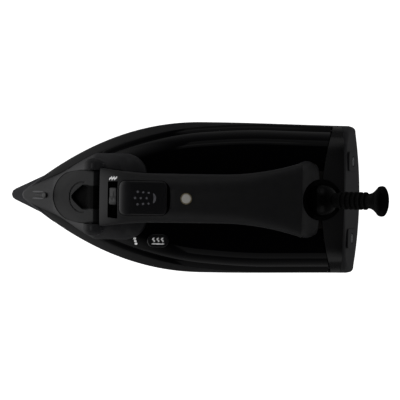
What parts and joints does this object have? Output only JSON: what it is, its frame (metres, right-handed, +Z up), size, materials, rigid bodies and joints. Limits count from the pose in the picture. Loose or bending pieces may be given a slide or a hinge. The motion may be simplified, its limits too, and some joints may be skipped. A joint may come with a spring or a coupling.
{
  "type": "steam iron",
  "caption": "Steam iron with pointed sole plate, smoked water tank, arched handle with controls, filling door, heel rest and swivelling cord guard.",
  "frame": {"origin": "on the ironing face, on the centre line, half way between the sole tip and the heel", "axes": "+Z up, -X towards the nose, +X towards the heel and cord, +Y towards the right-hand side seen from the heel"},
  "size_m": [0.3145, 0.128, 0.1494],
  "materials": {
    "sole_metal": "hard anodised, satin",
    "cast_metal": "die cast",
    "heater_steel": "annealed",
    "gasket_rubber": "silicone",
    "zinc_steel": "zinc plated",
    "ceramic": "glazed ceramic",
    "skirt_plastic": "fine moulded grain",
    "tray_plastic": "glass filled, dull",
    "tank_plastic": "smoked clear, polished",
    "brass": "turned",
    "white_plastic": "moulded",
    "seal_rubber": "silicone",
    "gloss_black": "polished",
    "spring_steel": "drawn wire",
    "cover_plastic": "satin moulded",
    "handle_plastic": "satin moulded",
    "grip_plastic": "soft touch",
    "lens_plastic": "frosted",
    "board": "solder mask",
    "heel_plastic": "satin moulded",
    "guard_rubber": "moulded PVC",
    "wire": "silicone sleeve"
  },
  "bodies": {
    "housing": {"soleplate": "sole_metal", "sole_casting": "cast_metal", "heating_element": "heater_steel", "chamber_gasket": "gasket_rubber", "chamber_cover": "cast_metal", "cover_screws": "zinc_steel", "thermostat": "ceramic", "thermal_fuse": "ceramic", "skirt": "skirt_plastic", "base_tray": "tray_plastic", "tray_screws": "zinc_steel", "tank_shell": "tank_plastic", "tank_floor": "tank_plastic", "valve_seat": "brass", "needle_seal": "seal_rubber", "clean_spring": "spring_steel", "clean_seat": "seal_rubber", "filler_funnel": "tray_plastic", "nose_cover": "cover_plastic", "spray_nozzle": "gloss_black", "spray_hose": "white_plastic", "door_pin": "zinc_steel", "front_pillar": "handle_plastic", "handle_top": "handle_plastic", "handle_grip": "grip_plastic", "spray_spring": "spring_steel", "spray_pump": "white_plastic", "trigger_spring": "spring_steel", "steam_pump": "white_plastic", "slider_track": "handle_plastic", "lamp_lens": "lens_plastic", "lamp_led": "white_plastic", "control_board": "board", "handle_foot": "handle_plastic", "rear_housing": "gloss_black", "heel_cover": "heel_plastic", "heel_pads": "grip_plastic", "heel_screws": "zinc_steel", "swivel_seat": "tray_plastic", "terminal_block": "white_plastic", "cord_clamp": "tray_plastic", "power_wires": "wire"},
    "filling_door": {"fill_door": "cover_plastic"},
    "spray_key": {"spray_button": "gloss_black", "spray_piston": "white_plastic"},
    "steam_key": {"steam_trigger": "gloss_black", "steam_piston": "white_plastic"},
    "steam_control": {"steam_slider": "gloss_black"},
    "needle": {"dosing_needle": "white_plastic"},
    "clean_key": {"clean_button": "gloss_black", "clean_rod": "white_plastic"},
    "swivel": {"swivel_ring": "gloss_black"},
    "guard": {"swivel_ball": "guard_rubber", "cord_guard": "guard_rubber"}
  },
  "joints": [
    {"name": "door_hinge", "type": "hinge", "parent": "housing", "child": "filling_door", "pos_m": [-0.072, 0, 0.11774], "axis": [0, 1, 0], "range_deg": [0, 75]},
    {"name": "spray_press", "type": "slide", "parent": "housing", "child": "spray_key", "axis": [0, 0, -1], "range_m": [0, 0.003], "stiffness_N_per_m": 800, "springref_m": -0.0005, "deforming": ["spray_spring"]},
    {"name": "trigger_press", "type": "slide", "parent": "housing", "child": "steam_key", "axis": [0, 0, 1], "range_m": [0, 0.003], "stiffness_N_per_m": 700, "springref_m": -0.001, "deforming": ["trigger_spring"]},
    {"name": "steam_slide", "type": "slide", "parent": "housing", "child": "steam_control", "axis": [0, 1, 0], "range_m": [-0.0102, 0.0048]},
    {"name": "needle_lift", "type": "slide", "parent": "housing", "child": "needle", "axis": [0, 0, 1], "range_m": [-0.00097, 0.00205]},
    {"name": "clean_press", "type": "slide", "parent": "housing", "child": "clean_key", "axis": [0, 0, -1], "range_m": [0, 0.0025], "stiffness_N_per_m": 700, "springref_m": -0.0005, "deforming": ["clean_spring"]},
    {"name": "cord_yaw", "type": "hinge", "parent": "housing", "child": "swivel", "pos_m": [0.112, 0, 0.095], "axis": [0, 0, 1], "range_deg": [-40, 40]},
    {"name": "cord_pitch", "type": "hinge", "parent": "swivel", "child": "guard", "pos_m": [0.112, 0, 0.095], "axis": [0, 1, 0], "range_deg": [-40, 18]}
  ],
  "couplings": [
    {"joint": "needle_lift", "follows": "steam_slide", "ratio": -0.2}
  ]
}
